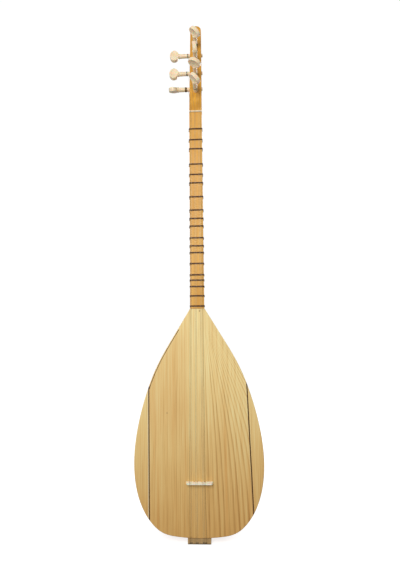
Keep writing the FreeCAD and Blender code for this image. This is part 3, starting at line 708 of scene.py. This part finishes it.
def add_pieces():
    cream = ivory("peg_cream")
    for name in PEG_TURNS:
        add_peg(name, cream)
    neck = frame["nodes"]["neck"].data
    tree = BVHTree.FromPolygons([vertex.co for vertex in neck.vertices],
                                [tuple(face.vertices) for face in neck.polygons])
    tied = nylon("fret_nylon")
    for number in range(1, len(named("fret_")) + 1):
        add_fret(number, tree, tied)
    materials = {
        "string_steel": steel("string_steel", (176, 172, 160), (136, 132, 122), 0.24),
        "string_wound": steel("string_wound", (160, 138, 98), (120, 98, 64), 0.34, pitch=0.5),
        "ball": steel("string_ball", (206, 176, 110), (170, 138, 78), 0.3),
    }
    for name in STRINGS:
        add_string(name, materials)


# ---------------------------------------------------------------- stage, light and camera

FLOOR_GLOW = 0.76
AMBIENT_UP = 0.5
AMBIENT_DOWN = 0.36
BACKDROP_GLOW = 1.02
FLOOR_WHITE = (0.6, 0.6, 0.6, 1)
# painted shadow: the dark colour of the floor under the holder
FLOOR_PAINTED_SHADOW = (0.12, 0.10, 0.08, 1)
FLOOR_REACH = 4.0
SHADE_EDGE = 1 * MM
CAMERA_SPOT = (0.0432, -0.8280, 0.3536)
CAMERA_PITCH = math.radians(7.95)
CAMERA_YAW = math.radians(2.59)
CAMERA_ROLL = -0.0104
CAMERA_LENS = 27.16
CAMERA_SENSOR = 36


def add_floor():
    """A white floor that glows a little, so that it stays white, except for a painted shadow under the
    holder: a patch there is dark and does not glow.
    """
    reach = FLOOR_REACH
    corners = [(-reach, -reach, -MM), (reach, -reach, -MM), (reach, reach, -MM), (-reach, reach, -MM)]
    finish = Finish("floor_white", Roughness=0.9, Specular_IOR_Level=0.0, Emission_Color=(1, 1, 1, 1))
    low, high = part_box("string_holder")
    middle = (low + high) / 2
    wide, deep = high.x, high.y - middle.y
    # painted shadow: a patch the size of the holder, under it, where the floor turns dark and stops glowing
    across = (finish.x - middle.x).math("ABSOLUTE").smooth(wide - SHADE_EDGE, wide + SHADE_EDGE)
    along = (finish.y - middle.y).math("ABSOLUTE").smooth(deep - SHADE_EDGE, deep + SHADE_EDGE)
    lit = across.math("MAXIMUM", along)
    plug(finish.tree, finish.shader.inputs["Emission Strength"], lit * FLOOR_GLOW)
    white = finish.mix(lit, FLOOR_PAINTED_SHADOW, FLOOR_WHITE)
    floor = piece("floor", corners, [(0, 1, 2, 3)], finish.paint(white))
    floor.visible_diffuse = False
    floor.visible_glossy = False


def add_world():
    world = bpy.data.worlds.new("studio")
    bpy.context.scene.world = world
    world.use_nodes = True
    tree = world.node_tree
    glow = tree.nodes["Background"]
    place = tree.nodes.new("ShaderNodeTexCoord").outputs["Generated"]
    apart = tree.nodes.new("ShaderNodeSeparateXYZ")
    tree.links.new(place, apart.inputs[0])
    height = Field(tree, apart.outputs[2]).smooth(-0.6, 0.8)
    lit = height * (AMBIENT_UP - AMBIENT_DOWN) + AMBIENT_DOWN
    seen = Field(tree, tree.nodes.new("ShaderNodeLightPath").outputs["Is Camera Ray"])
    plug(tree, glow.inputs["Strength"], lit + seen * (lit * -1.0 + BACKDROP_GLOW))
    glow.inputs["Color"].default_value = (1, 1, 1, 1)


def add_light(name, spot, aim, side, power, colour=(1, 1, 1)):
    lamp = bpy.data.lights.new(name, "AREA")
    lamp.shape = "RECTANGLE"
    lamp.size = side[0]
    lamp.size_y = side[1]
    lamp.energy = power
    lamp.color = colour
    item = bpy.data.objects.new(name, lamp)
    item.location = spot
    item.rotation_euler = (Vector(aim) - Vector(spot)).to_track_quat("-Z", "Y").to_euler()
    bpy.context.scene.collection.objects.link(item)


def add_lights():
    add_light("key", (-0.45, -1.25, 1.0), (0, 0, 0.5), (0.9, 0.8), 12.5, (1, 0.985, 0.95))
    add_light("rim", (0.9, 1.2, 1.3), (0, 0, 0.4), (0.8, 0.8), 9)


def add_camera():
    turn = Matrix.Rotation(CAMERA_YAW, 3, "Z") @ Matrix.Rotation(CAMERA_PITCH, 3, "X")
    right, forward, up = (turn.col[i] for i in range(3))
    level = right * math.cos(CAMERA_ROLL) + up * math.sin(CAMERA_ROLL)
    upright = up * math.cos(CAMERA_ROLL) - right * math.sin(CAMERA_ROLL)
    lens = bpy.data.cameras.new("camera")
    lens.lens = CAMERA_LENS
    lens.sensor_width = CAMERA_SENSOR
    item = bpy.data.objects.new("camera", lens)
    place = Matrix((level, upright, -forward)).transposed().to_4x4()
    item.matrix_world = Matrix.Translation(Vector(CAMERA_SPOT)) @ place
    bpy.context.scene.collection.objects.link(item)
    bpy.context.scene.camera = item


finish_nodes()
add_pieces()
add_floor()
add_world()
add_lights()
add_camera()
bpy.context.scene.view_settings.view_transform = "Standard"
